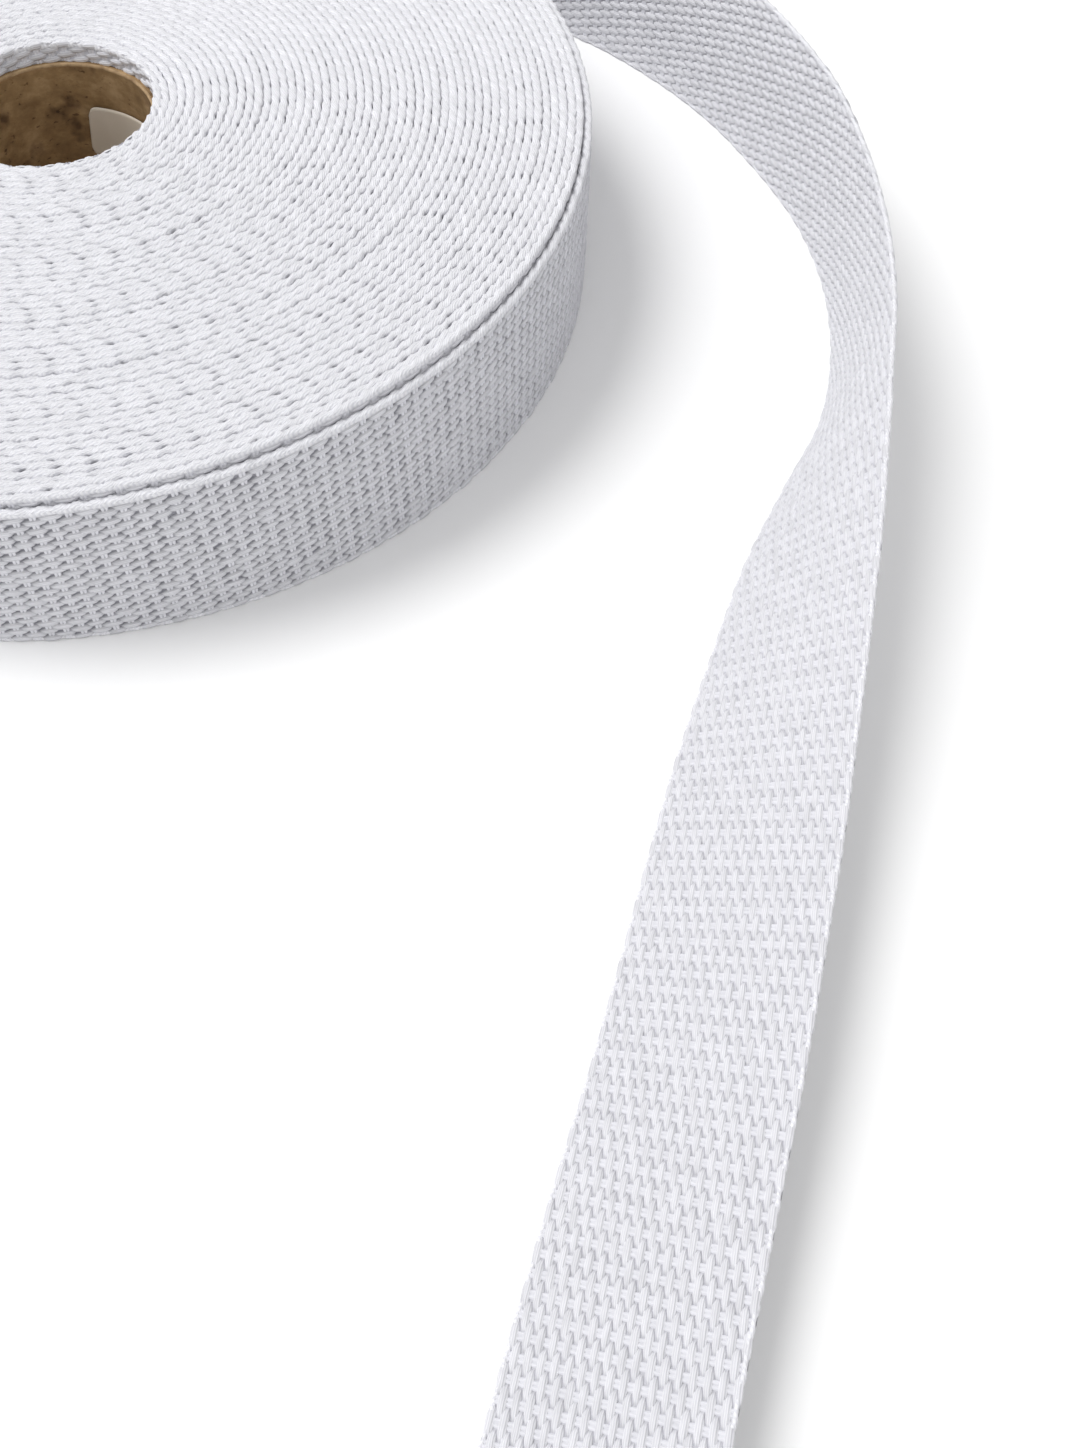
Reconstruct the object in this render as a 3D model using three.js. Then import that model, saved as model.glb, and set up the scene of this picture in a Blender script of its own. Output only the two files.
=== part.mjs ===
// A roll of white woven cotton tape on a cardboard core. The last turn leaves the roll
// at the back, runs round its right side standing on edge, leans over and lies flat.
// Millimetres, +Z up. The pieces are worked out round the roll's axis, and the group
// is then moved so that the origin is under the middle of the whole part.

import * as THREE from 'three';

// The tape.
const TAPE_WIDTH = 25;
const TURN_THICKNESS = 1.275;
const TURN_COUNT = 52;
const SHEET_THICKNESS = 1.2;

// Clearance between neighbouring pieces. The loose end starts a little further out,
// because it runs straighter than the roll's round and comes nearest some way on.
const PIECE_GAP = 0.3;
const LOOSE_END_GAP = 0.5;

// The cardboard core and the plain paper label stuck inside it.
const CORE_BORE_RADIUS = 14.6;
const CORE_WALL = 1.1;
const CORE_FOOT_Z = 0.5;
const CORE_TOP_Z = 22.3;
const LABEL_THICKNESS = 0.3;
const LABEL_FOOT_Z = 7.3;
const LABEL_TOP_Z = 15.5;
const LABEL_START_ANGLE = 90;
const LABEL_END_ANGLE = 26;
const LABEL_CORNER_RADIUS = 1.4;

// The wound roll. Its turns stand a little higher than the outermost one, which has
// slipped down, furthest on the roll's front.
const ROLL_BORE_RADIUS = CORE_BORE_RADIUS + CORE_WALL + PIECE_GAP;
const ROLL_RADIUS = ROLL_BORE_RADIUS + TURN_COUNT * TURN_THICKNESS;
const ROLL_TOP_Z = 25.7;
const LAST_TURN_MEAN_DROP = 0.9;
const LAST_TURN_DROP_SWING = 0.4;
const LAST_TURN_LOWEST_ANGLE = -80;
const ROLL_EDGE_BEVEL = 0.4;

// The tape leaves the roll at this angle, seen from above, counted from +X.
const DEPARTURE_ANGLE = 110;
const STEP_ANGLE = 0.25;

// How finely the pieces are divided.
const ROLL_STATIONS = 200;
const CORE_STATIONS = 72;
const LABEL_STATIONS = 20;
const LOOSE_STATIONS = 96;
const LOOSE_STRIPS = 5;

// The loose end after it has left the roll: where its lower edge stands, from the
// roll's axis, and how far the tape is tilted up from the floor, in degrees.
const LOOSE_END_ROWS = [
  { x: -5.9, y: 82.4, tilt: 90 },
  { x: 16.3, y: 84.4, tilt: 90 },
  { x: 38.6, y: 82.3, tilt: 89 },
  { x: 60.0, y: 75.9, tilt: 88 },
  { x: 79.5, y: 64.8, tilt: 87 },
  { x: 91.6, y: 54.3, tilt: 86.5 },
  { x: 102.0, y: 42.0, tilt: 86 },
  { x: 110.3, y: 28.0, tilt: 86.5 },
  { x: 116.8, y: 13.4, tilt: 87.3 },
  { x: 120.2, y: -1.7, tilt: 87.6 },
  { x: 120.6, y: -16.9, tilt: 84.6 },
  { x: 118.1, y: -32.3, tilt: 78.1 },
  { x: 111.6, y: -47.3, tilt: 64.7 },
  { x: 105.1, y: -62.5, tilt: 51.1 },
  { x: 100.1, y: -78.2, tilt: 42.7 },
  { x: 95.6, y: -93.3, tilt: 34.7 },
  { x: 91.6, y: -108.5, tilt: 28.4 },
  { x: 88.0, y: -123.7, tilt: 26.2 },
  { x: 84.2, y: -139.0, tilt: 23.2 },
  { x: 80.0, y: -154.5, tilt: 19.9 },
  { x: 76.0, y: -170.3, tilt: 18.6 },
  { x: 71.9, y: -187.0, tilt: 17.3 },
  { x: 67.2, y: -207.5, tilt: 16.2 },
];

const cottonTape = new THREE.MeshStandardMaterial({ color: 0xececf1, roughness: 0.85, metalness: 0 });
const cardboard = new THREE.MeshStandardMaterial({ color: 0x6f5a40, roughness: 0.9, metalness: 0 });
const labelPaper = new THREE.MeshStandardMaterial({ color: 0xb9b4aa, roughness: 0.7, metalness: 0 });

// Point at an angle in degrees and a radius round the roll's axis.
function polar(angle, radius, z) {
  const turn = THREE.MathUtils.degToRad(angle);
  return new THREE.Vector3(radius * Math.cos(turn), radius * Math.sin(turn), z);
}

// Closed solid through a row of sections, each a ring of the same number of points.
// The rings either join up into a loop, or the first and last are closed by strips
// that pair each point with the one opposite it.
function loft(rings, isLoop) {
  const ringSize = rings[0].length;
  const positions = rings.flat().flatMap((point) => point.toArray());
  const indices = [];
  const spans = isLoop ? rings.length : rings.length - 1;
  for (let span = 0; span < spans; span += 1) {
    const near = span * ringSize;
    const far = ((span + 1) % rings.length) * ringSize;
    for (let side = 0; side < ringSize; side += 1) {
      const next = (side + 1) % ringSize;
      indices.push(near + side, far + next, near + next);
      indices.push(near + side, far + side, far + next);
    }
  }
  if (!isLoop) {
    const last = (rings.length - 1) * ringSize;
    for (let side = 0; side < ringSize / 2 - 1; side += 1) {
      const opposite = ringSize - 1 - side;
      indices.push(side, side + 1, opposite);
      indices.push(side + 1, opposite - 1, opposite);
      indices.push(last + side, last + opposite, last + side + 1);
      indices.push(last + side + 1, last + opposite, last + opposite - 1);
    }
  }
  const geometry = new THREE.BufferGeometry();
  geometry.setAttribute('position', new THREE.Float32BufferAttribute(positions, 3));
  geometry.setIndex(indices);
  geometry.computeVertexNormals();
  return geometry;
}

function piece(name, geometry, material) {
  const mesh = new THREE.Mesh(geometry, material);
  mesh.name = name;
  return mesh;
}

// Height of the outermost turn's upper edge at an angle round the roll.
function lastTurnTop(angle) {
  const swing = Math.cos(THREE.MathUtils.degToRad(angle - LAST_TURN_LOWEST_ANGLE));
  return ROLL_TOP_Z - LAST_TURN_MEAN_DROP - LAST_TURN_DROP_SWING * swing;
}

// Section of the wound turns, from the bore's foot out and back over the top.
function rollSection(angle, outerRadius) {
  const lastTurnInside = outerRadius - TURN_THICKNESS;
  const lastTop = lastTurnTop(angle);
  return [
    [ROLL_BORE_RADIUS + ROLL_EDGE_BEVEL, 0],
    [outerRadius - ROLL_EDGE_BEVEL, 0],
    [outerRadius, ROLL_EDGE_BEVEL],
    [outerRadius, lastTop - ROLL_EDGE_BEVEL],
    [outerRadius - ROLL_EDGE_BEVEL, lastTop],
    [lastTurnInside, lastTop],
    [lastTurnInside, ROLL_TOP_Z],
    [ROLL_BORE_RADIUS + ROLL_EDGE_BEVEL, ROLL_TOP_Z],
    [ROLL_BORE_RADIUS, ROLL_TOP_Z - ROLL_EDGE_BEVEL],
    [ROLL_BORE_RADIUS, ROLL_EDGE_BEVEL],
  ].map(([radius, z]) => polar(angle, radius, z));
}

// The wound turns as one ring. The outside is a spiral that gains one thickness in a
// turn and steps back in where the loose end leaves it.
function makeTapeRoll() {
  const sections = [];
  for (let station = 0; station < ROLL_STATIONS; station += 1) {
    const share = station / (ROLL_STATIONS - 1);
    const angle = DEPARTURE_ANGLE + share * (360 - STEP_ANGLE);
    sections.push(rollSection(angle, ROLL_RADIUS - TURN_THICKNESS * share));
  }
  return loft(sections, true);
}

function makeCore() {
  const sections = [];
  for (let station = 0; station < CORE_STATIONS; station += 1) {
    const angle = (360 * station) / CORE_STATIONS;
    sections.push([
      polar(angle, CORE_BORE_RADIUS, CORE_FOOT_Z),
      polar(angle, CORE_BORE_RADIUS + CORE_WALL, CORE_FOOT_Z),
      polar(angle, CORE_BORE_RADIUS + CORE_WALL, CORE_TOP_Z),
      polar(angle, CORE_BORE_RADIUS, CORE_TOP_Z),
    ]);
  }
  return loft(sections, true);
}

// How far a rounded corner draws the label's edges in, at a distance from its end.
function cornerInset(distance) {
  const reach = Math.max(LABEL_CORNER_RADIUS - distance, 0);
  return LABEL_CORNER_RADIUS - Math.sqrt(LABEL_CORNER_RADIUS ** 2 - reach ** 2);
}

// A thin round-cornered strip of paper on the core's inner wall.
function makeCoreLabel() {
  const outerRadius = CORE_BORE_RADIUS - PIECE_GAP;
  const innerRadius = outerRadius - LABEL_THICKNESS;
  const span = LABEL_START_ANGLE - LABEL_END_ANGLE;
  const length = THREE.MathUtils.degToRad(span) * outerRadius;
  const sections = [];
  for (let station = 0; station <= LABEL_STATIONS; station += 1) {
    // Cosine spacing brings the stations together at the rounded corners.
    const share = (1 - Math.cos((Math.PI * station) / LABEL_STATIONS)) / 2;
    const angle = LABEL_END_ANGLE + share * span;
    const inset = cornerInset(length * Math.min(share, 1 - share));
    sections.push([
      polar(angle, innerRadius, LABEL_TOP_Z - inset),
      polar(angle, innerRadius, LABEL_FOOT_Z + inset),
      polar(angle, outerRadius, LABEL_FOOT_Z + inset),
      polar(angle, outerRadius, LABEL_TOP_Z - inset),
    ]);
  }
  return loft(sections, false);
}

// Row where the sheet starts, butted against the step in the roll's outside.
function departureRow() {
  const insideRadius = ROLL_RADIUS - TURN_THICKNESS + LOOSE_END_GAP;
  const clearAngle = THREE.MathUtils.radToDeg(PIECE_GAP / insideRadius);
  const start = polar(DEPARTURE_ANGLE - STEP_ANGLE - clearAngle, insideRadius, 0);
  return { x: start.x, y: start.y, tilt: 90 };
}

// The loose end: a flat strip swept along its lower edge and tilted row by row. Its
// inner face stands on the floor at first and is the upper face where it lies down.
function makeLooseEnd() {
  const rows = [departureRow(), ...LOOSE_END_ROWS];
  const path = new THREE.CatmullRomCurve3(
    rows.map((row) => new THREE.Vector3(row.x, row.y, row.tilt)),
    false,
    'centripetal',
  );
  const up = new THREE.Vector3(0, 0, 1);
  const sections = [];
  for (let station = 0; station <= LOOSE_STATIONS; station += 1) {
    const share = station / LOOSE_STATIONS;
    const point = path.getPoint(share);
    const heading = path.getTangent(share).setZ(0).normalize();
    const tilt = THREE.MathUtils.degToRad(Math.min(point.z, 90));
    const outward = new THREE.Vector3().crossVectors(up, heading);
    const across = outward.clone().multiplyScalar(Math.cos(tilt)).addScaledVector(up, Math.sin(tilt));
    const through = outward.clone().multiplyScalar(Math.sin(tilt)).addScaledVector(up, -Math.cos(tilt));
    const foot = new THREE.Vector3(point.x, point.y, SHEET_THICKNESS * Math.cos(tilt));
    const inner = [];
    const outer = [];
    for (let strip = 0; strip <= LOOSE_STRIPS; strip += 1) {
      const onInner = foot.clone().addScaledVector(across, (TAPE_WIDTH * strip) / LOOSE_STRIPS);
      inner.push(onInner);
      outer.unshift(onInner.clone().addScaledVector(through, SHEET_THICKNESS));
    }
    sections.push([...inner, ...outer]);
  }
  return loft(sections, false);
}

const part = new THREE.Group();
part.add(
  piece('tape_roll', makeTapeRoll(), cottonTape),
  piece('loose_end', makeLooseEnd(), cottonTape),
  piece('core', makeCore(), cardboard),
  piece('core_label', makeCoreLabel(), labelPaper),
);

// Bring the origin under the middle of the part.
const middle = new THREE.Box3().setFromObject(part).getCenter(new THREE.Vector3());
part.position.set(-middle.x, -middle.y, 0);

export default part;
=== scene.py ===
import math

import bmesh
import bpy
import numpy as np
from mathutils import Matrix, Vector


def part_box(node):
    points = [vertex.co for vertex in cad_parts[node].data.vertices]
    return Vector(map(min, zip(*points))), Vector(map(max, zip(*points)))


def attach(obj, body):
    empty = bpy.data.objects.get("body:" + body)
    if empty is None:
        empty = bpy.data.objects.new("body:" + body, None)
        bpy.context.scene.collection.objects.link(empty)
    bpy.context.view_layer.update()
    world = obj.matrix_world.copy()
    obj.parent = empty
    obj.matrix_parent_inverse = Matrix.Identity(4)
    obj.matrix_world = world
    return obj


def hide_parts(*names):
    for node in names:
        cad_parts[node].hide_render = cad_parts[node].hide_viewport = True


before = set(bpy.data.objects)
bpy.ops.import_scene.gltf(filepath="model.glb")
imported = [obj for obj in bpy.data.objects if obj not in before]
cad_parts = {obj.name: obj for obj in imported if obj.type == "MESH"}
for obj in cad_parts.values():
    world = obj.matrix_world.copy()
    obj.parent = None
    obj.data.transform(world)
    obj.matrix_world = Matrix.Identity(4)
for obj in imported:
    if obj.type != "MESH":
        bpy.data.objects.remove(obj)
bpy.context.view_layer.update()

MM = 0.001

# ---------------------------------------------------------------- the cardboard core
# A short tube of brown board that the tape is started on. It is wound from plies of
# kraft paper and sawn to length, so its rim shows the plies, a pale inner liner
# standing a little proud of them, and its inside is mottled, stained and specked.
CORE_WALL = 1.1 * MM
CORE_LINER = 0.2 * MM
CORE_LIP = 0.14 * MM
RIM_DEPTH = 0.5 * MM
CORE_STEPS = 160

core_low, core_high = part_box("core")
AXIS = Vector(((core_low.x + core_high.x) / 2, (core_low.y + core_high.y) / 2, 0))
core_outside = (core_high.x - core_low.x) / 2
core_bore = core_outside - CORE_WALL


def new_object(name, mesh, material):
    """Puts a finished mesh in the scene as a piece that rides on the root body."""
    made = bpy.data.objects.new(name, mesh)
    bpy.context.scene.collection.objects.link(made)
    mesh.materials.append(material)
    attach(made, "root")
    return made


def spun(section, steps):
    """Closed ring from a section of (radius, height) points round the roll's axis."""
    bm = bmesh.new()
    verts = [bm.verts.new((radius, 0, height)) for radius, height in section]
    edges = [bm.edges.new((a, b)) for a, b in zip(verts, verts[1:] + verts[:1])]
    bmesh.ops.spin(bm, geom=verts + edges, cent=(0, 0, 0), axis=(0, 0, 1), dvec=(0, 0, 0),
                   angle=2 * math.pi, steps=steps, use_merge=True, use_duplicate=False)
    bmesh.ops.remove_doubles(bm, verts=bm.verts, dist=1e-6)
    bmesh.ops.recalc_face_normals(bm, faces=bm.faces)
    return bm


def to_mesh(bm, name, smooth=True):
    """Turns a bmesh into a mesh and frees it."""
    mesh = bpy.data.meshes.new(name)
    bm.to_mesh(mesh)
    bm.free()
    if smooth:
        mesh.shade_smooth()
    return mesh


def new_material(name, colour, roughness):
    """Plain Principled material, with its nodes and shader ready to be added to."""
    material = bpy.data.materials.new(name)
    material.use_nodes = True
    nodes = material.node_tree.nodes
    shader = nodes["Principled BSDF"]
    shader.inputs["Base Color"].default_value = (*colour, 1)
    shader.inputs["Roughness"].default_value = roughness
    return material, nodes, material.node_tree.links, shader


def noise_node(nodes, links, vector, scale, detail=3.0, roughness=0.5, stretch=(1, 1, 1)):
    """Noise read through a Mapping node that stretches it."""
    mapping = nodes.new("ShaderNodeMapping")
    mapping.inputs["Scale"].default_value = stretch
    links.new(vector, mapping.inputs["Vector"])
    noise = nodes.new("ShaderNodeTexNoise")
    noise.inputs["Scale"].default_value = scale
    noise.inputs["Detail"].default_value = detail
    noise.inputs["Roughness"].default_value = roughness
    links.new(mapping.outputs["Vector"], noise.inputs["Vector"])
    return noise


def ramp_node(nodes, links, factor, stops):
    """Colour ramp from a list of (position, colour) stops."""
    ramp = nodes.new("ShaderNodeValToRGB")
    elements = ramp.color_ramp.elements
    while len(elements) < len(stops):
        elements.new(0.5)
    for element, (position, colour) in zip(elements, stops):
        element.position = position
        element.color = (*colour, 1)
    links.new(factor, ramp.inputs["Fac"])
    return ramp


def mix_node(nodes, links, blend, factor, first, second):
    """Mix of two colours; the factor is a number or a socket."""
    mix = nodes.new("ShaderNodeMix")
    mix.data_type = "RGBA"
    mix.blend_type = blend
    if isinstance(factor, float):
        mix.inputs["Factor"].default_value = factor
    else:
        links.new(factor, mix.inputs["Factor"])
    links.new(first, mix.inputs["A"])
    links.new(second, mix.inputs["B"])
    return mix.outputs["Result"]


def bump_node(nodes, links, height, distance, strength, under=None):
    """Bump of a height, on top of another bump if one is given."""
    bump = nodes.new("ShaderNodeBump")
    bump.inputs["Distance"].default_value = distance
    bump.inputs["Strength"].default_value = strength
    links.new(height, bump.inputs["Height"])
    if under is not None:
        links.new(under, bump.inputs["Normal"])
    return bump.outputs["Normal"]


board, nodes, links, shader = new_material("kraft_board", (0.29, 0.175, 0.085), 0.85)
place = nodes.new("ShaderNodeTexCoord").outputs["Object"]
mottle = noise_node(nodes, links, place, 170, 6, 0.68, (1, 1, 1.6))
tone = ramp_node(nodes, links, mottle.outputs["Fac"],
                 [(0.32, (0.19, 0.11, 0.045)), (0.50, (0.33, 0.21, 0.095)),
                  (0.70, (0.54, 0.37, 0.20))])
stain = noise_node(nodes, links, place, 190, 3, 0.5)
stain_tone = ramp_node(nodes, links, stain.outputs["Fac"],
                       [(0.30, (0.38, 0.32, 0.27)), (0.42, (1, 1, 1))])
fleck = noise_node(nodes, links, place, 900, 2, 0.5, (1, 1, 1.8))
fleck_tone = ramp_node(nodes, links, fleck.outputs["Fac"],
                       [(0.27, (0.42, 0.36, 0.30)), (0.35, (1, 1, 1))])
colour = mix_node(nodes, links, "MULTIPLY", 1.0, tone.outputs["Color"], stain_tone.outputs["Color"])
colour = mix_node(nodes, links, "MULTIPLY", 1.0, colour, fleck_tone.outputs["Color"])
links.new(colour, shader.inputs["Base Color"])
fibres = noise_node(nodes, links, place, 1400, 4, 0.6, (1, 1, 0.5))
links.new(bump_node(nodes, links, fibres.outputs["Fac"], 0.00008, 0.6), shader.inputs["Normal"])

liner, nodes, links, shader = new_material("board_edge", (0.42, 0.29, 0.155), 0.8)
place = nodes.new("ShaderNodeTexCoord").outputs["Object"]
plies = noise_node(nodes, links, place, 700, 4, 0.6)
tone = ramp_node(nodes, links, plies.outputs["Fac"],
                 [(0.3, (0.22, 0.135, 0.065)), (0.6, (0.45, 0.31, 0.17))])
links.new(tone.outputs["Color"], shader.inputs["Base Color"])
links.new(bump_node(nodes, links, plies.outputs["Fac"], 0.0001, 0.7), shader.inputs["Normal"])

liner_outside = core_bore + CORE_LINER
# From the foot of the bore round the outside, over the plies and the liner, and back.
bm = spun([
    (core_bore, core_low.z + 0.2 * MM),
    (core_bore + 0.2 * MM, core_low.z),
    (core_outside - 0.3 * MM, core_low.z),
    (core_outside, core_low.z + 0.3 * MM),
    (core_outside, core_high.z - 0.5 * MM),
    (core_outside - 0.2 * MM, core_high.z - 0.2 * MM),
    (liner_outside + 0.1 * MM, core_high.z - 0.15 * MM),
    (liner_outside, core_high.z - 0.3 * MM),
    (liner_outside - 0.05 * MM, core_high.z),
    (core_bore + 0.05 * MM, core_high.z),
    (core_bore - CORE_LIP, core_high.z - 0.2 * MM),
    (core_bore - CORE_LIP, core_high.z - 0.45 * MM),
    (core_bore, core_high.z - 0.7 * MM),
], CORE_STEPS)
for face in bm.faces:
    middle = face.calc_center_median()
    on_liner = middle.xy.length < liner_outside + 0.05 * MM
    face.material_index = 1 if on_liner and middle.z > core_high.z - RIM_DEPTH else 0
bmesh.ops.translate(bm, verts=bm.verts, vec=AXIS)
cardboard_core = new_object("cardboard_core", to_mesh(bm, "cardboard_core"), board)
cardboard_core.data.materials.append(liner)
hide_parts("core")

# ------------------------------------------------------------------- the paper label
# A plain greyish paper label with rounded corners, die-cut from one thin leaf. It is
# glued round the inside of the core and was stuck on a little aslant.
LABEL_THICKNESS = 0.15 * MM
LABEL_GAP = 0.3 * MM
LABEL_CORNER = 1.4 * MM
LABEL_START = math.radians(92.5)
LABEL_END = math.radians(26)
LABEL_SLANT = math.radians(10)

label_low, label_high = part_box("core_label")
label_radius = core_bore - LABEL_GAP
label_length = (LABEL_START - LABEL_END) * label_radius
label_height = label_high.z - label_low.z

bm = bmesh.new()
bmesh.ops.create_grid(bm, x_segments=48, y_segments=14, size=0.5)
for vert in bm.verts:
    along, up = vert.co.x * label_length, vert.co.y * label_height
    reach = max(LABEL_CORNER - (label_length / 2 - abs(along)), 0)
    inset = LABEL_CORNER - math.sqrt(max(LABEL_CORNER ** 2 - reach ** 2, 0))
    up *= 1 - 2 * inset / label_height
    along -= up * math.tan(LABEL_SLANT)
    angle = (LABEL_START + LABEL_END) / 2 + along / label_radius
    vert.co = (label_radius * math.cos(angle), label_radius * math.sin(angle),
               (label_low.z + label_high.z) / 2 + up)
bmesh.ops.recalc_face_normals(bm, faces=bm.faces)
bmesh.ops.solidify(bm, geom=bm.faces, thickness=LABEL_THICKNESS)
bmesh.ops.recalc_face_normals(bm, faces=bm.faces)
bmesh.ops.translate(bm, verts=bm.verts, vec=AXIS)
paper, nodes, links, shader = new_material("label_paper", (0.54, 0.48, 0.40), 0.55)
place = nodes.new("ShaderNodeTexCoord").outputs["Object"]
cloud = noise_node(nodes, links, place, 160, 3, 0.5)
tone = ramp_node(nodes, links, cloud.outputs["Fac"],
                 [(0.3, (0.57, 0.505, 0.42)), (0.7, (0.64, 0.575, 0.49))])
links.new(tone.outputs["Color"], shader.inputs["Base Color"])
paper_label = new_object("paper_label", to_mesh(bm, "paper_label"), paper)
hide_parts("core_label")

# ----------------------------------------------------------------- the cotton yarn
# Soft spun white cotton. The warp runs along the tape in bundles of three strands;
# the weft crosses it in pairs of threads. The pattern of strands follows each piece's
# own map, whose two directions are metres along the yarn and metres across it, and a
# point attribute greys the yarn with painted shade where it dives between its neighbours.
STRAND_PITCH = 0.28 * MM
STRAND_WANDER = 5.0
PICK = 2.15 * MM
# Colour that the yarn is multiplied by where its painted shade is deepest.
PAINTED_SHADE_TONE = (0.30, 0.30, 0.32)


def math_node(nodes, links, operation, first, second):
    """Sum, product or other combination of a socket with a socket or a number."""
    node = nodes.new("ShaderNodeMath")
    node.operation = operation
    links.new(first, node.inputs[0])
    if isinstance(second, (int, float)):
        node.inputs[1].default_value = second
    else:
        links.new(second, node.inputs[1])
    return node.outputs[0]


def cotton(name, colour, shade, strands):
    """White cotton with fine strands along the yarn, a slightly uneven tone, and painted shade
    where it lies deep.
    """
    material, nodes, links, shader = new_material(name, colour, 0.9)
    shader.inputs["Specular IOR Level"].default_value = 0.25
    shader.inputs["Sheen Weight"].default_value = 0.1
    shader.inputs["Sheen Roughness"].default_value = 0.5
    woven = nodes.new("ShaderNodeUVMap")
    woven.uv_map = "tape"
    yarn = woven.outputs["UV"]
    wander = noise_node(nodes, links, yarn, 1, 2, 0.5, (500, 900, 1)).outputs["Fac"]
    fibre = noise_node(nodes, links, yarn, 1, 3, 0.65, (900, 11000, 1)).outputs["Fac"]
    uneven = noise_node(nodes, links, yarn, 1, 2, 0.5, (230, 900, 1)).outputs["Fac"]
    sideways = nodes.new("ShaderNodeSeparateXYZ")
    links.new(yarn, sideways.inputs["Vector"])
    turns = math_node(nodes, links, "MULTIPLY", sideways.outputs["Y"], 2 * math.pi / STRAND_PITCH)
    wander = math_node(nodes, links, "MULTIPLY", wander, STRAND_WANDER)
    turns = math_node(nodes, links, "ADD", turns, wander)
    strand = math_node(nodes, links, "COSINE", turns, 0.0)
    strand = math_node(nodes, links, "MULTIPLY", strand, strands)
    height = math_node(nodes, links, "ADD", strand, fibre)
    dark = tuple(channel * shade for channel in colour)
    tone = ramp_node(nodes, links, uneven, [(0.32, dark), (0.60, colour)])
    # Painted shade in the grooves between the strands, with random tone from the fibres: darker
    # where their height is low.
    groove_shade_and_fibre_tone = ramp_node(nodes, links, height, [(0.20, (0.88, 0.88, 0.90)), (0.62, (1, 1, 1))])
    mixed = mix_node(nodes, links, "MULTIPLY", 1.0, tone.outputs["Color"], groove_shade_and_fibre_tone.outputs["Color"])
    # Painted shade: a point attribute darkens the yarn where it lies deep between its neighbours.
    depth = nodes.new("ShaderNodeAttribute")
    depth.attribute_name = "painted_shade"
    painted_shade = ramp_node(nodes, links, depth.outputs["Fac"], [(0.15, (1, 1, 1)), (1, PAINTED_SHADE_TONE)])
    links.new(mix_node(nodes, links, "MULTIPLY", 1.0, mixed, painted_shade.outputs["Color"]),
              shader.inputs["Base Color"])
    links.new(bump_node(nodes, links, height, 0.00008, 0.6), shader.inputs["Normal"])
    return material


warp_cotton = cotton("cotton_warp", (0.74, 0.74, 0.77), 0.87, 0.50)
weft_cotton = cotton("cotton_weft", (0.73, 0.73, 0.77), 0.93, 0.0)
# The selvedges' cotton is a lighter copy of the same yarn: painted light that makes up for the
# shade between the ridges on top of the roll.
painted_light_edge_cotton = cotton("cotton_edge_painted_light", (0.81, 0.81, 0.84), 0.91, 0.55)
# A dark copy of the same cotton: painted shade for the gaps between the ridges, where the roll's
# body shows.
painted_shade_cotton = cotton("cotton_painted_shade", (0.42, 0.42, 0.45), 0.94, 0.0)

# -------------------------------------------------------------------- the loose end
# The tape is 25 mm wide with 33 warp columns, woven plain with doubled picks. Its
# free end leaves the back of the roll on edge, runs round the right side, leans over
# and twists until it lies flat. The weft and the core of the cloth are one thin
# ribbed sheet; each warp bundle that shows is a small plump float laid over it.
TAPE_WIDTH = 25 * MM
TAPE_THICKNESS = 1.2 * MM
COLUMNS = 33
EDGE_ROOM = 0.2 * MM
FLOAT_MAP_STEP = 4 * STRAND_PITCH
LEAVES_AT = math.radians(110)

# A float's length, breadth, crown and lean, mm, how much it strays, then its plan and
# height from its middle to its end as shares: blunt on the flat tape, more pointed and
# less even round the roll.
BLUNT_FLOAT = (3.4, 1.0, 0.42, 0.11, 1.0,
               [(0, 1, 1), (0.40, 0.97, 0.99), (0.66, 0.79, 0.82), (1, 0.60, 0)])
LEAF_FLOAT = (3.4, 1.07, 0.42, 0.21, 2.3,
              [(0, 1, 1), (0.40, 0.94, 0.98), (0.66, 0.76, 0.85), (1, 0.28, 0)])
# Inside the bore, where the sharp bend bunches the yarn, plumper.
PLUMP_FLOAT = (3.2, 0.96, 0.50, 0.18, 1.5,
               [(0, 1, 1), (0.40, 0.90, 0.94), (0.66, 0.66, 0.70), (1, 0.25, 0)])
# Its height across, from the middle to the side.
FLOAT_ACROSS = [(0, 1), (0.84, 0.88), (1, 0)]
# How far one strays: its place along and across the tape, crown and lean, and its length
# and breadth as shares. No crown sinks into the weft.
STRAY_ALONG = 0.05 * MM
STRAY_ACROSS = 0.02 * MM
STRAY_CROWN = 0.025 * MM
STRAY_LEAN = 0.02 * MM
STRAY_LENGTH = 0.03
STRAY_BREADTH = 0.04
LOWEST_CROWN = 0.39 * MM

# The weft's height over one pick, two threads side by side, from the hollow before them;
# the next pick's first row is the hollow after them.
WEFT_RIBS = [
    # offset along the tape from the pick's middle and height above the tape's, mm
    (-1.075, 0.0),
    (-0.50, 0.03),
    (-0.38, 0.27),
    (-0.17, 0.34),
    (0.0, 0.14),
    (0.17, 0.34),
    (0.38, 0.27),
    (0.50, 0.03),
]
RIB_OPEN = 0.26 * MM
LEAST_RIB = 0.04 * MM

# Painted shade: how much the tape is greyed on its floats' crowns, down their sides and
# between the picks, standing for the shade in the weave. The weave is more open round the
# roll, where even the crowns are greyed, a painted shade over the whole wall.
FLAT_PAINTED_SHADE = (0.0, 0.42, 0.40)
WALL_PAINTED_SHADE = (0.20, 0.70, 0.90)
RIM_PAINTED_SHADE = (0.0, 0.20, 0.30)

# Where the loose end leaves the roll it carries on from the outermost turn: drawn in,
# a share wider, and with a share of the wall's painted shade. This fades out over its first run.
JOIN_RUN = 55 * MM
JOIN_STEP = 0.36 * MM
JOIN_RISE = 0.017
JOIN_SHADE = 0.6

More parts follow.
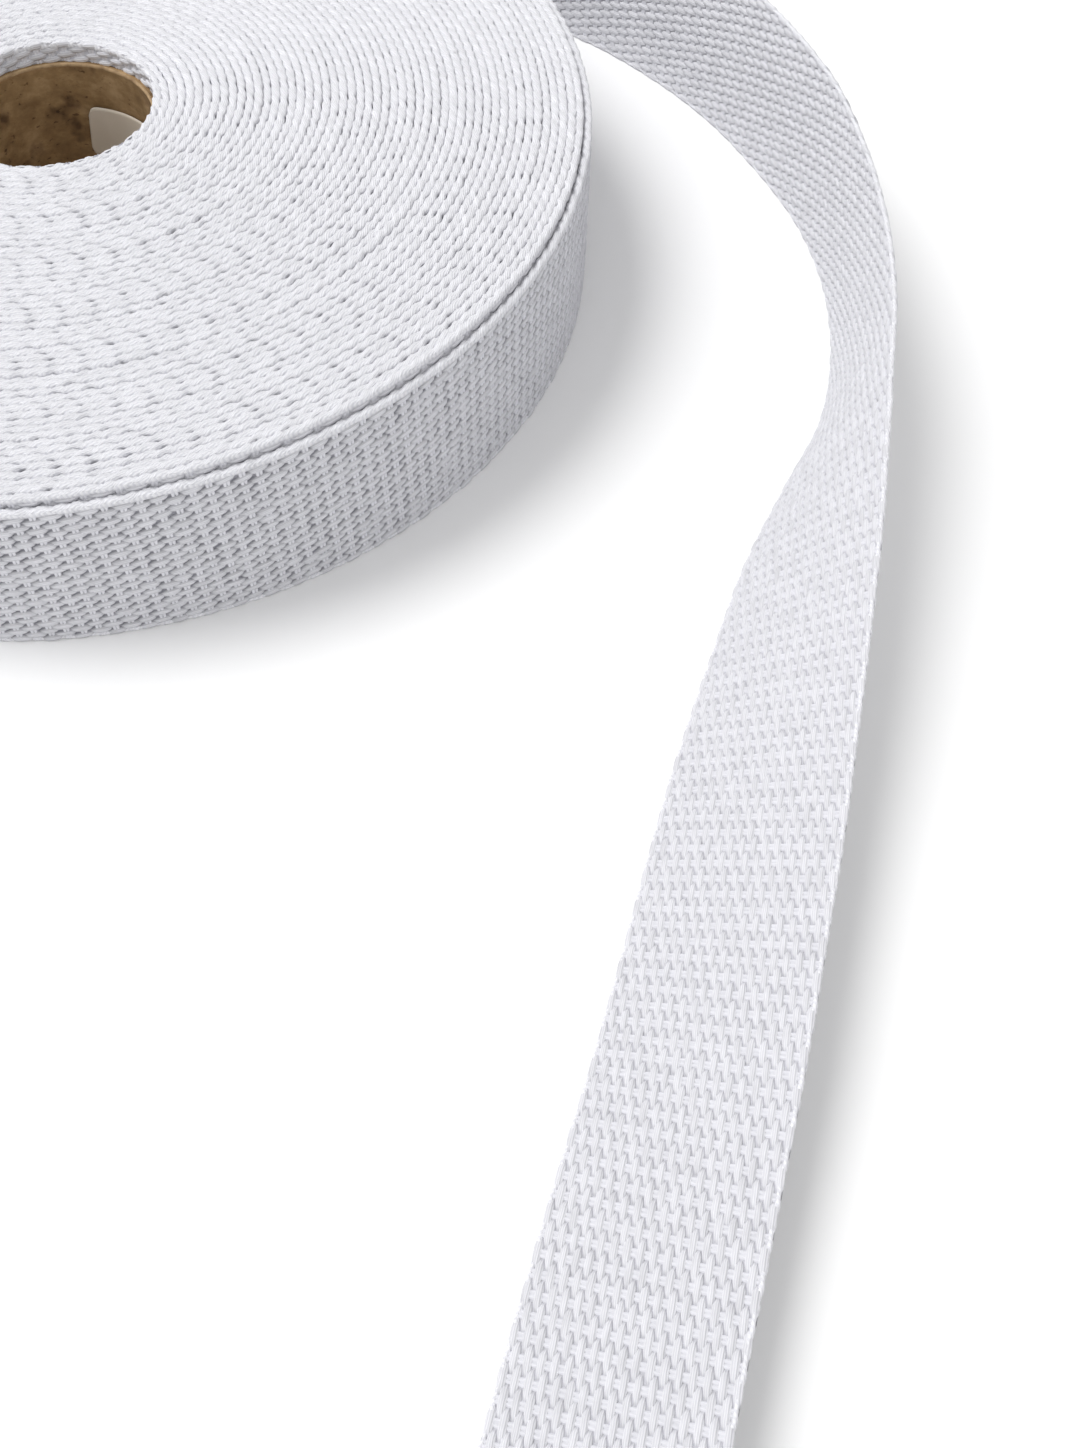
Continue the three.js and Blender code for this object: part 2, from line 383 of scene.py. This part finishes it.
# Where the lower edge stands, in mm from the roll's axis, and the tape's tilt in degrees.
LOOSE_ROWS = [
    # x, y, tilt
    (-27.91, 76.49, 90),
    (-5.9, 82.4, 90),
    (16.3, 84.4, 90),
    (38.6, 82.3, 89),
    (60.0, 75.9, 88),
    (79.5, 64.8, 87),
    (91.6, 54.3, 86.5),
    (102.0, 42.0, 86),
    (110.3, 28.0, 86.5),
    (116.8, 13.4, 87.3),
    (120.2, -1.7, 87.6),
    (120.6, -16.9, 84.6),
    (118.1, -32.3, 78.1),
    (111.6, -47.3, 64.7),
    (105.1, -62.5, 51.1),
    (100.1, -78.2, 42.7),
    (95.6, -93.3, 34.7),
    (91.6, -108.5, 28.4),
    (88.0, -123.7, 26.2),
    (84.2, -139.0, 23.2),
    (80.0, -154.5, 19.9),
    (76.0, -170.3, 18.6),
    (71.9, -187.0, 17.3),
    (67.2, -207.5, 16.2),
]


def centripetal(rows, steps):
    """Points of a centripetal Catmull-Rom curve through the rows, in even steps of rows."""
    rows = np.array(rows, float)
    rows = np.vstack([2 * rows[0] - rows[1], rows, 2 * rows[-1] - rows[-2]])
    points = []
    for before, start, end, after in zip(rows, rows[1:], rows[2:], rows[3:]):
        gaps = [math.sqrt(np.linalg.norm(b - a))
                for a, b in ((before, start), (start, end), (end, after))]
        leave = ((start - before) / gaps[0] - (end - before) / (gaps[0] + gaps[1])
                 + (end - start) / gaps[1]) * gaps[1]
        arrive = ((end - start) / gaps[1] - (after - start) / (gaps[1] + gaps[2])
                  + (after - end) / gaps[2]) * gaps[1]
        for t in np.arange(steps) / steps:
            points.append(start + leave * t + (3 * (end - start) - 2 * leave - arrive) * t ** 2
                          + (2 * (start - end) + leave + arrive) * t ** 3)
    points.append(rows[-2])
    return np.array(points)


course = centripetal(LOOSE_ROWS, 60)
tilt = np.radians(np.minimum(course[:, 2], 90))
heading = np.gradient(course[:, :2], axis=0)
heading /= np.linalg.norm(heading, axis=1)[:, None]
outward = np.column_stack([-heading[:, 1], heading[:, 0], 0 * tilt])
upward = np.array([0, 0, 1.0])
foot_line = np.column_stack([course[:, 0] * MM, course[:, 1] * MM, TAPE_THICKNESS * np.cos(tilt)])
foot_line += np.array(AXIS)
across_line = outward * np.cos(tilt)[:, None] + upward * np.sin(tilt)[:, None]
through_line = outward * np.sin(tilt)[:, None] - upward * np.cos(tilt)[:, None]
middle_line = foot_line + across_line * TAPE_WIDTH / 2
run_line = np.concatenate([[0], np.cumsum(np.linalg.norm(np.diff(middle_line, axis=0), axis=1))])


def follow(lines, run):
    """Reads a line of vectors at any run along the loose end."""
    return np.stack([np.interp(run, run_line, lines[:, axis]) for axis in range(3)], axis=-1)


def joining(run):
    """How much the loose end still follows the outermost turn, from 1 to 0."""
    return np.clip(1 - run / JOIN_RUN, 0, 1) ** 2


def on_loose_end(run, across, proud):
    """Point on the loose end: along it, up from its lower edge, and proud of its middle."""
    depth = (TAPE_THICKNESS / 2 - proud - JOIN_STEP * joining(run))[..., None]
    across = (across * (1 + JOIN_RISE * joining(run)))[..., None]
    before = np.minimum(run, 0)[..., None] * np.append(heading[0], 0)
    return (follow(foot_line, run) + follow(across_line, run) * across
            + follow(through_line, run) * depth + before)


def inner_painted_shade(which, run):
    """Painted shade on the loose end's inner face, which leans over to be the upper one."""
    return FLAT_PAINTED_SHADE[which]


def outer_painted_shade(which, run):
    """Painted shade on its outer face, which is more like the wall's where it leaves."""
    wall_share = JOIN_SHADE * joining(run)
    return FLAT_PAINTED_SHADE[which] * (1 - wall_share) + WALL_PAINTED_SHADE[which] * wall_share


def float_shape(plan, long_steps, broad_steps):
    """A plump warp bundle on a grid from -1 to 1 that dives under at both ends."""
    bm = bmesh.new()
    bmesh.ops.create_grid(bm, x_segments=long_steps, y_segments=broad_steps, size=1)
    points = np.array([vert.co for vert in bm.verts])
    faces = np.array([[vert.index for vert in face.verts] for face in bm.faces])
    bm.free()
    end, side = np.abs(points[:, 0]), np.abs(points[:, 1])
    along, breadth, height = (np.interp(end, np.linspace(0, 1, 4), share) for share in zip(*plan))
    across, lift = (np.interp(side, np.linspace(0, 1, 3), share) for share in zip(*FLOAT_ACROSS))
    points[:, 0] = np.sign(points[:, 0]) * along
    points[:, 1] = np.sign(points[:, 1]) * across * breadth
    points[:, 2] = height * lift
    return points, faces


def joined(name, faces, run, across, proud, where, material, painted_shade, yarn, flip=False):
    """One mesh of many like shapes: a row of the arrays for each, placed on the tape."""
    points = where(run, across, proud)
    count, size = run.shape
    every = (faces[None] + size * np.arange(count)[:, None, None]).reshape(-1, faces.shape[1])
    if flip:
        every = every[:, ::-1]
    mesh = bpy.data.meshes.new(name)
    mesh.from_pydata(points.reshape(-1, 3), [], every)
    layer = mesh.uv_layers.new(name="tape")
    spread = np.stack([axis.reshape(-1) for axis in yarn], axis=-1)
    layer.data.foreach_set("uv", spread[every.reshape(-1)].reshape(-1).astype(np.float32))
    # Painted shade for each point, read by the cotton's attribute node.
    depth = mesh.attributes.new("painted_shade", "FLOAT", "POINT")
    depth.data.foreach_set("value", (painted_shade + 0 * run).reshape(-1).astype(np.float32))
    mesh.shade_smooth()
    return new_object(name, mesh, material)


def warp_floats(name, picks, columns, face, where, kind, way, seed, painted_shades, flip=False,
                grid=(6, 4)):
    """The warp bundles that show on one face: every other pick of each column."""
    long, broad, crown, lean, stray, plan = kind
    shape, faces = float_shape(plan, *grid)
    draw = np.random.default_rng(seed)
    pick, column = np.meshgrid(np.arange(*picks), np.arange(*columns), indexing="ij")
    shown = (pick + column) % 2 == (0 if face > 0 else 1)
    pick, column = pick[shown][:, None], column[shown][:, None]
    jitter = stray * draw.normal(0, 1, (6, len(pick), 1))
    centre = (pick + 0.5) * PICK + jitter[0] * STRAY_ALONG
    level = EDGE_ROOM + (column + 0.5) * (TAPE_WIDTH - 2 * EDGE_ROOM) / COLUMNS
    level = level + jitter[1] * STRAY_ACROSS
    sideways = shape[:, 1] * broad * MM * (1 + STRAY_BREADTH * jitter[3]) / 2
    top = np.maximum(crown * MM + STRAY_CROWN * jitter[4], LOWEST_CROWN)
    run = centre + shape[:, 0] * long * MM * (1 + STRAY_LENGTH * jitter[2]) / 2
    across = level + sideways + shape[:, 0] * (way * lean * MM + STRAY_LEAN * jitter[5])
    proud = face * shape[:, 2] * top
    # Painted shade on the crowns, and more of it down the sides as they dive.
    painted_shade = painted_shades(0, run) + painted_shades(1, run) * (1 - shape[:, 2])
    return joined(name, faces, run, across, proud, where, warp_cotton, painted_shade,
                  (run, sideways + column * FLOAT_MAP_STEP), flip)


def grid_faces(stations, points, closed):
    """Faces of a long grid of stations, each of so many points, or of a tube."""
    first = np.arange(stations - 1)[:, None] * points
    here = np.arange(points if closed else points - 1)[None]
    beside = (here + 1) % points
    return np.stack([first + here, first + beside, first + points + beside,
                     first + points + here], axis=-1).reshape(-1, 4)


def weft_grid(picks, levels, tail=0.0):
    """Runs, distances across and heights of the weft's ribs on a grid, pick by pick, with
    a closing row that stands past the last pick by the tail."""
    ribs = np.array(WEFT_RIBS) * MM
    run = (((np.arange(*picks) + 0.5) * PICK)[:, None] + ribs[:, 0]).reshape(-1)
    run = np.append(run, picks[1] * PICK + tail)
    rib = np.append(np.tile(ribs[:, 1], picks[1] - picks[0]), 0)
    shape = (len(run), len(levels))
    return [np.broadcast_to(grid, shape) for grid in (run[:, None], np.array(levels), rib[:, None])]


def rib_shade_share(rib):
    """How deep the weft lies, from 0 on a thread to 1 between two picks; it scales the weft's
    painted shade.
    """
    return np.clip(1 - rib / RIB_OPEN, 0, 1)


def fill_ends(piece):
    """Closes both ends of a tube-like piece."""
    bm = bmesh.new()
    bm.from_mesh(piece.data)
    bmesh.ops.holes_fill(bm, edges=[edge for edge in bm.edges if edge.is_boundary], sides=0)
    bmesh.ops.recalc_face_normals(bm, faces=bm.faces)
    bm.to_mesh(piece.data)
    bm.free()


# Whole periods of the selvedge, two picks each.
loose_picks = 2 * int(run_line[-1] / (2 * PICK))

EDGE_INSET = 0.35 * MM
# The sheet goes on to the tips of the last floats.
CUT_TAIL = 0.6 * MM
# Round the sheet: distance up from the lower edge, and which face it is on.
levels = np.array([EDGE_INSET, 2 * EDGE_INSET, TAPE_WIDTH / 2, TAPE_WIDTH - 2 * EDGE_INSET,
                   TAPE_WIDTH - EDGE_INSET])
girth = np.array([(level, 1) for level in levels] + [(level, -1) for level in levels[::-1]])
run, across, rib = weft_grid((0, loose_picks), girth[:, 0], CUT_TAIL)
# Painted shade of the weft, deepest between the picks.
painted_shade = np.where(girth[:, 1] > 0, inner_painted_shade(2, run), outer_painted_shade(2, run)) * rib_shade_share(rib)
rib = np.maximum(rib, LEAST_RIB) * girth[:, 1]
loose_weft = joined("loose_end_weft", grid_faces(*run.shape, closed=True), run.reshape(1, -1),
                    across.reshape(1, -1), rib.reshape(1, -1), on_loose_end, weft_cotton,
                    painted_shade.reshape(1, -1), (across, run))
fill_ends(loose_weft)

inner_warp = warp_floats("loose_end_inner_warp", (0, loose_picks), (0, COLUMNS), 1, on_loose_end,
                         BLUNT_FLOAT, 1, 11, inner_painted_shade)
outer_warp = warp_floats("loose_end_outer_warp", (0, loose_picks), (0, COLUMNS), -1, on_loose_end,
                         BLUNT_FLOAT, -1, 12, outer_painted_shade, flip=True, grid=(4, 3))

# The selvedge: the outermost warp winds from face to face round the weft's ends, so the
# edge is a beaded cord that sways once in two picks, more sharply one way. A small pit
# opens beside it at each turn of its sway; painted shade greys it in its pits, between its
# beads and down its sides.
SWAY = 0.19 * MM
SWAY_FALL = 0.36
PIT = 0.32 * MM
HALF_PIT = 0.30
PIT_WIDTH = 0.13
LUMP = 0.20 * MM
LUMP_TWIST = 3.4 / MM
LUMP_PHASE = 1.0
CORD_BEADS = 0.4
# Painted shade down its sides, in its pits and between its beads.
EDGE_PAINTED_SHADE = 0.6
PIT_PAINTED_SHADE = 0.16
LUMP_PAINTED_SHADE = 0.3
STRANDS_LEAN = math.radians(25)
# Heights in mm, as in the cross-sections: where the painted shade down its side is darkest,
# and how far down it is beaded.
DARKEST_SHADE_AT = -1.2
BEADED_TO = -0.5
# How uneven it is: its sway and pits as shares, its place as a share of a period, and
# its height and side.
SWAY_STRAY = 0.25
PIT_STRAY = 0.45
PLACE_STRAY = 0.05
LIFT_STRAY = 0.03 * MM
SIDE_STRAY = 0.02 * MM
SWAY_STATIONS = np.arange(8) / 8
COARSE_STATIONS = np.arange(4) / 4

# Cross-sections: side position and height in mm, and shares of the sway and the pit,
# whose sign is the way that the pit cuts in.
RIDGE = [
    (-0.74, -1.20, 0, 0.35),
    (-0.68, -0.24, 0, 0.35),
    (-0.38, -0.06, 0.6, 0.15),
    (0.02, 0, 1, 0),
    (0.40, -0.06, 0.6, -0.25),
    (0.66, -0.24, 0, -0.7),
    (0.72, -1.20, 0, -0.7),
]
FACING_RIDGE = [
    (-0.86, -0.75, 0, 0),
    (-0.78, -0.18, 0, 0),
    (-0.40, 0, 1, 0),
    (0.10, 0, 1, 0),
    (0.42, -0.20, 0.3, 0),
    (0.36, -1.0, 0, 0),
]
UNDER_RIDGE = [
    (-0.66, -0.9, 0, 0),
    (-0.42, -0.04, 1, 0),
    (0.42, -0.04, 1, 0),
    (0.66, -0.9, 0, 0),
]
EDGE_CORD = [
    (-0.05, -0.70, 0, 0),
    (-0.36, -0.42, 0, 0),
    (-0.30, -0.12, 0.2, 0),
    (0.0, 0.0, 0.3, 0),
    (0.30, -0.12, 0.2, 0),
    (0.36, -0.42, 0, 0),
    (0.05, -0.70, 0, 0),
]


def sway(share):
    """Side shift of the cord, from 1 to -1 and back over a share of its period."""
    share = share % 1
    fall = 0.5 * share / SWAY_FALL
    rise = 0.5 + 0.5 * (share - SWAY_FALL) / (1 - SWAY_FALL)
    return np.cos(2 * math.pi * np.where(share < SWAY_FALL, fall, rise))


def selvedge(name, periods, section, stations, edge_at, way, where, seed, flip=False,
             beads=1.0, closed=False):
    """Swaying, beaded ridge along an edge of the tape, standing up or down from a level."""
    draw = np.random.default_rng(seed)
    period = np.arange(*periods)
    steps = (period[:, None] + stations).reshape(-1)
    loose = draw.normal(0, 1, (5, len(period) + 2))
    wander = [np.interp(steps, np.arange(periods[0] - 1, periods[1] + 1), row)[:, None]
              for row in loose]
    run = 2 * PICK * steps[:, None]
    side, height, swaying, pitted = np.array(section).T
    leaning = SWAY * (1 + SWAY_STRAY * wander[0]) * sway(steps[:, None] + PLACE_STRAY * wander[1])
    near = (steps[:, None] + 0.5) % 1 - 0.5
    pit = np.exp(-(near / PIT_WIDTH) ** 2)
    pit = pit + HALF_PIT * np.exp(-((0.5 - abs(near)) / PIT_WIDTH) ** 2)
    painted_shade = EDGE_PAINTED_SHADE * (height / DARKEST_SHADE_AT) ** 2 + PIT_PAINTED_SHADE * pit * abs(pitted)
    pit = PIT * (1 + PIT_STRAY * wander[2]) * pit
    turned = 4 * math.pi * steps[:, None] + LUMP_PHASE + LUMP_TWIST * side * MM
    low = 0.5 - 0.5 * np.cos(turned)
    painted_shade += LUMP_PAINTED_SHADE * beads * low ** 4
    lump = LIFT_STRAY * wander[3] - 2 * LUMP * beads * low
    proud = side * MM + leaning * swaying + pit * pitted + SIDE_STRAY * wander[4]
    lift = height * MM + np.where(height > BEADED_TO, lump, 0)
    run = np.broadcast_to(run, proud.shape)
    across = edge_at(run) + way * lift
    lean = math.cos(STRANDS_LEAN), math.sin(STRANDS_LEAN)
    yarn = (run * lean[0] - side * MM * lean[1], run * lean[1] + side * MM * lean[0])
    return joined(name, grid_faces(*run.shape, closed), run.reshape(1, -1),
                  across.reshape(1, -1), proud.reshape(1, -1), where, painted_light_edge_cotton,
                  painted_shade.reshape(1, -1), yarn, flip)


def edge_cord(name, periods, edge_at, way, where, seed, flip=False):
    """A selvedge that is seen from all round: a whole cord with closed ends."""
    cord = selvedge(name, periods, EDGE_CORD, SWAY_STATIONS, edge_at, way, where, seed, flip,
                    CORD_BEADS, closed=True)
    fill_ends(cord)
    return cord


def upper_level(run):
    """Level of the loose end's upper edge."""
    return TAPE_WIDTH + 0 * run


def lower_level(run):
    """Level of the tape's lower edge, on the loose end and in the roll."""
    return 0 * run


loose_periods = (0, loose_picks // 2)
upper_edge = edge_cord("loose_end_upper_selvedge", loose_periods, upper_level, 1,
                       on_loose_end, 13)
lower_edge = edge_cord("loose_end_lower_selvedge", loose_periods, lower_level, -1,
                       on_loose_end, 14, flip=True)

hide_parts("loose_end")

# -------------------------------------------------------------------- the wound roll
# Some fifty turns of the same tape wound tightly on the core. On top and underneath
# only the selvedges show, turn beside turn; the outermost turn has slipped down a
# little, so a strip of the next turn's face shows above it.
TURN = 1.275 * MM
ROLL_RADIUS = 82.3 * MM
ROLL_BORE = 16.0 * MM
ROLL_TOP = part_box("tape_roll")[1].z
# How far the outermost turn has slipped down, and where round the roll it is lowest.
LAST_DROP = 0.78 * MM
LAST_SWING = 0.52 * MM
LOWEST_AT = math.radians(-80)
# How far the innermost turn leans over the core, and the dip of the top beside it.
LEAN = 0.95 * MM
DIP = 0.4 * MM
DIP_REACH = 3.2 * MM
DIP_POWER = 1.3
# The bend swells the outer face's floats by this share.
FACE_SWELL = 1.08
# Each turn's edge is a little uneven, a sum of waves round the roll of its own.
TURN_ROWS = 60
WAVES = 6
WAVE_HEIGHT = 0.04 * MM
WAVE_ROOM = 0.08 * MM
RISE_ANGLE = 0.25
# How far up from the lower edge the strips of weft begin and end.
WALL_STRIP = (0.1 * MM, 24.1 * MM)
NEXT_STRIP = (22.2 * MM, 24.1 * MM)
BORE_STRIP = (21.4 * MM, 24.8 * MM)

middle_radius = ROLL_RADIUS - TURN / 2
first_run = 2 * math.pi * middle_radius - math.pi * TURN
second_run = first_run + 2 * math.pi * (middle_radius - TURN) - math.pi * TURN
bore_radius = ROLL_BORE + TURN / 2
rim_radius = bore_radius - LEAN
wound_run = (middle_radius ** 2 - bore_radius ** 2) * math.pi / TURN
rim_run = (middle_radius ** 2 - rim_radius ** 2) * math.pi / TURN
whole_run = rim_run + 2 * math.pi * rim_radius


def turned_by(run):
    """Angle that the tape has turned through at a run along it from where it leaves."""
    inside = np.sqrt(np.maximum(middle_radius ** 2 - TURN * run / math.pi, rim_radius ** 2))
    past = np.maximum(run - rim_run, 0) / rim_radius
    return (middle_radius - inside) * 2 * math.pi / TURN + past


turn_draw = np.random.default_rng(21)
turn_waves = turn_draw.normal(0, 1, (TURN_ROWS, WAVES)) * WAVE_HEIGHT
turn_phase = turn_draw.uniform(0, 2 * math.pi, (TURN_ROWS, WAVES))


def top_of(run):
    """Height of the tape's upper edge in the roll, turn by turn slightly uneven."""
    turned = turned_by(run)
    last = ROLL_TOP - LAST_DROP - LAST_SWING * np.cos(LEAVES_AT + turned - LOWEST_AT)
    which = np.clip((turned / (2 * math.pi)).astype(int), 0, TURN_ROWS - 2)
    inner = ROLL_TOP - WAVE_ROOM
    for wave in range(WAVES):
        phase = (wave + 1) * turned + turn_phase[which, wave]
        inner = inner + turn_waves[which, wave] * np.cos(phase)
    blend = np.clip((turned - 2 * math.pi) / RISE_ANGLE, 0, 1)
    from_rim = np.maximum(middle_radius - TURN * turned / (2 * math.pi), rim_radius) - rim_radius
    return last + (inner - last) * blend - DIP * np.exp(-(from_rim / DIP_REACH) ** DIP_POWER)


def on_roll(run, height, proud):
    """Point on the wound tape: along it, up from the floor, and proud of its middle."""
    turned = turned_by(run)
    radius = np.maximum(middle_radius - TURN * turned / (2 * math.pi), rim_radius) + proud
    angle = LEAVES_AT + turned
    return np.stack([AXIS.x + radius * np.cos(angle), AXIS.y + radius * np.sin(angle),
                     height + 0 * angle], axis=-1)


def on_face(run, across, proud):
    """Point on a turn's outer face, its width fitted between floor and upper edge."""
    return on_roll(run, across / TAPE_WIDTH * top_of(run), proud * FACE_SWELL)


# The body of the roll, just under the selvedges and floats. Its outside follows the
# spiral of the outermost turns.
BODY_STEPS = 240
BODY_MAP_RADIUS = 50 * MM
bm = spun([
    (ROLL_BORE + 0.25 * MM, 0.8 * MM),
    (ROLL_RADIUS - 1.2 * MM, 0.8 * MM),
    (ROLL_RADIUS - 1.2 * MM, ROLL_TOP - 2.5 * MM),
    (ROLL_RADIUS - TURN - 0.7 * MM, ROLL_TOP - 2.5 * MM),
    (ROLL_RADIUS - TURN - 0.7 * MM, ROLL_TOP - 1.35 * MM),
    (ROLL_BORE + 3 * MM, ROLL_TOP - 1.35 * MM),
    (ROLL_BORE + 0.25 * MM, ROLL_TOP - 2.6 * MM),
], BODY_STEPS)
for vert in bm.verts:
    radius = math.hypot(vert.co.x, vert.co.y)
    if radius > ROLL_RADIUS - 2 * TURN:
        angle = (math.atan2(vert.co.y, vert.co.x) - LEAVES_AT) % (2 * math.pi)
        shrink = (radius - TURN * angle / (2 * math.pi)) / radius
        vert.co.x *= shrink
        vert.co.y *= shrink
bmesh.ops.translate(bm, verts=bm.verts, vec=AXIS)
layer = bm.loops.layers.uv.new("tape")
for face in bm.faces:
    for loop in face.loops:
        flat = loop.vert.co - AXIS
        loop[layer].uv = (math.atan2(flat.y, flat.x) * BODY_MAP_RADIUS,
                          math.hypot(flat.x, flat.y) + flat.z)
# Its cotton is the dark copy, painted shade for what shows of it between the selvedges.
wound_body = new_object("wound_body", to_mesh(bm, "wound_body", smooth=False), painted_shade_cotton)


def wall_painted_shade(which, run):
    """Painted shade on the outermost turn."""
    return WALL_PAINTED_SHADE[which]


def rim_painted_shade(which, run):
    """Painted shade on the strips of tape that show above the last turn and in the bore."""
    return RIM_PAINTED_SHADE[which]


def weft_strip(name, picks, levels, where, painted_shades, flip=True):
    """Ribbed strip of weft that lies under the floats of a wound face."""
    run, across, rib = weft_grid(picks, levels)
    return joined(name, grid_faces(*run.shape, closed=False), run.reshape(1, -1),
                  across.reshape(1, -1), rib.reshape(1, -1), where, weft_cotton,
                  painted_shades(2, run) * rib_shade_share(rib).reshape(1, -1), (across, run), flip)


wall_picks = int(first_run / PICK)
two_turn_picks = int(second_run / PICK)
wall_weft = weft_strip("roll_wall_weft", (0, wall_picks), WALL_STRIP, on_face, wall_painted_shade)
wall_warp = warp_floats("roll_wall_warp", (0, wall_picks), (0, COLUMNS - 1), 1, on_face,
                        LEAF_FLOAT, 1, 22, wall_painted_shade, flip=True)
next_weft = weft_strip("second_turn_weft", (wall_picks, two_turn_picks), NEXT_STRIP, on_face,
                       rim_painted_shade)
next_warp = warp_floats("second_turn_warp", (wall_picks, two_turn_picks),
                        (COLUMNS - 3, COLUMNS - 1), 1, on_face, BLUNT_FLOAT, 1, 27, rim_painted_shade,
                        flip=True)

first_periods = int(first_run / (2 * PICK))
step_periods = int(second_run / (2 * PICK))
under_periods = int(wound_run / (2 * PICK))
rim_periods = int(rim_run / (2 * PICK))
all_periods = int(whole_run / (2 * PICK))
# The spiral on top is made in an outer and an inner piece of about the same size.
half_periods = under_periods * 45 // 100

top_last = selvedge("roll_top_last_turns", (0, step_periods), FACING_RIDGE, SWAY_STATIONS,
                    top_of, 1, on_roll, 20)
top_outer = selvedge("roll_top_selvedges_outer", (step_periods - 1, half_periods + 1), RIDGE,
                     SWAY_STATIONS, top_of, 1, on_roll, 23)
top_inner = selvedge("roll_top_selvedges_inner", (half_periods, rim_periods), RIDGE,
                     SWAY_STATIONS, top_of, 1, on_roll, 24)
facing_in = [(-side, height, swaying, 0) for side, height, swaying, pit in FACING_RIDGE[::-1]]
rim_edge = selvedge("bore_rim_selvedge", (rim_periods - 1, all_periods), facing_in,
                    SWAY_STATIONS, top_of, 1, on_roll, 29)
wall_foot = edge_cord("roll_wall_foot", (0, first_periods), lower_level, -1, on_roll, 30,
                      flip=True)
under = selvedge("roll_under_selvedges", (first_periods, under_periods), UNDER_RIDGE,
                 COARSE_STATIONS, lower_level, -1, on_roll, 25, flip=True)

# Inside the bore the innermost turn leans over the core's rim and its face shows.
bore_picks = (int(rim_run / PICK), int(whole_run / PICK))


def in_bore(run, across, proud):
    """Point on the innermost turn's inner face."""
    return on_roll(run, across / TAPE_WIDTH * top_of(run), -proud)


bore_weft = weft_strip("bore_weft", bore_picks, BORE_STRIP, in_bore, rim_painted_shade, flip=False)
bore_warp = warp_floats("bore_warp", bore_picks, (COLUMNS - 5, COLUMNS), 1, in_bore,
                        PLUMP_FLOAT, -1, 28, rim_painted_shade)

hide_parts("tape_roll")

# --------------------------------------------------------- floor, studio and camera
# The roll lies on a plain pale table, under a large soft lamp above its left side and
# a weak one in front. The camera looks down on it from the front.
bm = bmesh.new()
bmesh.ops.create_grid(bm, x_segments=1, y_segments=1, size=3)
pale, nodes, links, shader = new_material("pale_floor", (0.93, 0.93, 0.93), 0.9)
shader.inputs["Specular IOR Level"].default_value = 0.1
floor = bpy.data.objects.new("floor", to_mesh(bm, "floor", smooth=False))
floor.data.materials.append(pale)
bpy.context.scene.collection.objects.link(floor)

world = bpy.data.worlds.new("studio")
bpy.context.scene.world = world
world.use_nodes = True
nodes, links = world.node_tree.nodes, world.node_tree.links
height = nodes.new("ShaderNodeSeparateXYZ")
links.new(nodes.new("ShaderNodeTexCoord").outputs["Generated"], height.inputs["Vector"])
glow = ramp_node(nodes, links, height.outputs["Z"],
                 [(0.0, (1.0, 1.0, 1.0)), (0.9, (0.50, 0.50, 0.50))])
links.new(glow.outputs["Color"], nodes["Background"].inputs["Color"])

# Way to each lamp from the roll, its diameter and its energy.
LAMPS = [
    ("softbox", (-0.60, 0.13, 1.0), 1.2, 30),
    ("fill", (0.35, -1.0, 0.45), 2.0, 6),
]
LAMP_DISTANCE = 2.0
for name, way, size, energy in LAMPS:
    lamp = bpy.data.lights.new(name, "AREA")
    lamp.shape = "DISK"
    lamp.size = size
    lamp.energy = energy
    box = bpy.data.objects.new(name, lamp)
    bpy.context.scene.collection.objects.link(box)
    box.location = Vector(way).normalized() * LAMP_DISTANCE
    box.rotation_euler = Vector(way).to_track_quat("Z", "Y").to_euler()

CAMERA_AT = Vector((78.16, -189.31, 144.87)) * MM
CAMERA_DOWN = math.radians(61.14)
CAMERA_ROLL = math.radians(2.29)

view = bpy.data.cameras.new("camera")
view.sensor_width = 36
view.sensor_fit = "AUTO"
view.lens = 32.63
view.shift_y = 0.0829
view.clip_start = 0.01
camera = bpy.data.objects.new("camera", view)
bpy.context.scene.collection.objects.link(camera)
camera.matrix_world = (Matrix.Translation(AXIS + CAMERA_AT)
                       @ Matrix.Rotation(math.pi / 2 - CAMERA_DOWN, 4, "X")
                       @ Matrix.Rotation(CAMERA_ROLL, 4, "Z"))
bpy.context.scene.camera = camera
bpy.context.scene.view_settings.view_transform = "Standard"
